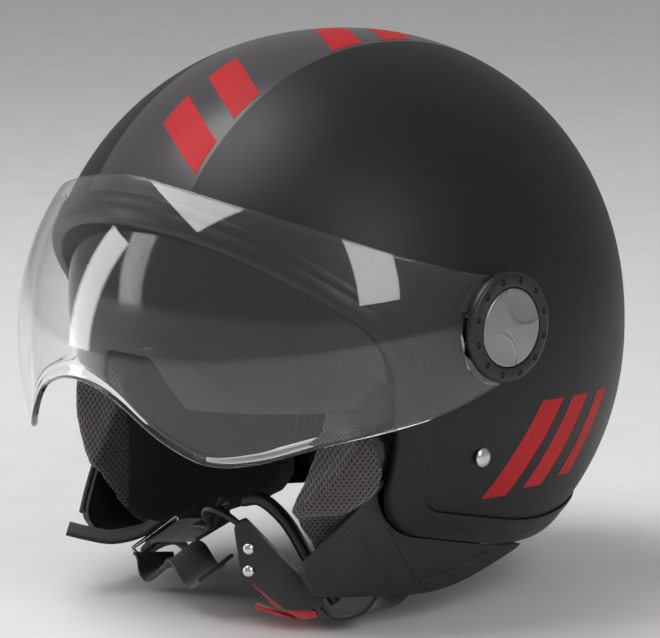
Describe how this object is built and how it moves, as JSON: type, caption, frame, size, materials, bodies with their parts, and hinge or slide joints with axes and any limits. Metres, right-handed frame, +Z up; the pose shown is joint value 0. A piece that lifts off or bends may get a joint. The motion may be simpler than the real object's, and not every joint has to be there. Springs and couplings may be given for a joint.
{
  "type": "open face motorcycle helmet",
  "caption": "Open face motorcycle helmet with a long pivoting clear visor, drop-down sun visor, cheek pads and a chin strap with a ratchet buckle.",
  "frame": {"origin": "centre of the wearer's head inside the shell, on the middle plane", "axes": "+Z up, the face looks along -Y, the wearer's left is +X"},
  "size_m": [0.2618, 0.2938, 0.2569],
  "materials": {
    "clear": "clear polycarbonate",
    "foam": "expanded polystyrene foam, dark grey",
    "gunmetal": "satin gunmetal paint",
    "leather": "black synthetic leather",
    "mesh": "brown-grey spacer mesh over soft foam",
    "plastic": "black moulded",
    "red": "gloss red moulded",
    "rubber": "satin black rubber",
    "satin": "satin black moulded",
    "shell": "matte black lacquer over glass fibre",
    "smoke": "smoked polycarbonate",
    "steel": "plain bright",
    "webbing": "ribbed black polyester webbing"
  },
  "bodies": {
    "helmet": {"outer_shell": "shell", "shell_edge_trim": "rubber", "impact_liner": "foam", "crown_liner": "mesh", "neck_roll": "leather", "visor_base_plate_left": "plastic", "visor_base_plate_right": "plastic", "visor_friction_washer_left": "steel", "visor_friction_washer_right": "steel", "pivot_ring_left": "satin", "pivot_ring_right": "satin", "pivot_cap_left": "gunmetal", "pivot_cap_right": "gunmetal", "pivot_screw_left": "steel", "pivot_screw_right": "steel", "pivot_insert_left": "steel", "pivot_insert_right": "steel", "sun_visor_clip_left": "steel", "sun_visor_clip_right": "steel", "strap_rivet_left": "steel", "strap_rivet_right": "steel", "strap_rivet_washer_left": "steel", "strap_rivet_washer_right": "steel", "buckle_body": "plastic", "buckle_lever_pin": "steel", "buckle_pawl_pin": "steel", "ratchet_tongue": "plastic", "strap_left": "webbing", "strap_right": "webbing", "strap_slack": "webbing", "strap_tail": "webbing", "strap_slider": "steel", "chin_pad": "leather", "cheek_pad_left": "mesh", "cheek_pad_right": "mesh", "lower_cover_left": "leather", "lower_cover_right": "leather"},
    "visor": {"outer_visor": "clear"},
    "inner_sun_visor": {"sun_visor": "smoke"},
    "release_lever": {"buckle_lever": "red", "lever_pull_tab": "red"},
    "locking_pawl": {"buckle_pawl": "steel"}
  },
  "joints": [
    {"name": "visor_hinge", "type": "hinge", "parent": "helmet", "child": "visor", "pos_m": [0, -0.02, 0.017], "axis": [-1, 0, 0], "range_deg": [0, 55]},
    {"name": "sun_visor_hinge", "type": "hinge", "parent": "helmet", "child": "inner_sun_visor", "pos_m": [0, -0.02, 0.017], "axis": [-1, 0, 0], "range_deg": [0, 45]},
    {"name": "buckle_lever_hinge", "type": "hinge", "parent": "helmet", "child": "release_lever", "pos_m": [0.03685, -0.08914, -0.09505], "axis": [-0.7213, 0.6727, -0.165], "range_deg": [0, 35], "stiffness_Nm_per_rad": 0.05, "springref_deg": -22.92},
    {"name": "buckle_pawl_hinge", "type": "hinge", "parent": "helmet", "child": "locking_pawl", "pos_m": [0.03569, -0.08802, -0.08542], "axis": [-0.7213, 0.6727, -0.165], "range_deg": [0, 8.75]}
  ],
  "couplings": [
    {"joint": "buckle_pawl_hinge", "follows": "buckle_lever_hinge", "ratio": 0.25}
  ]
}
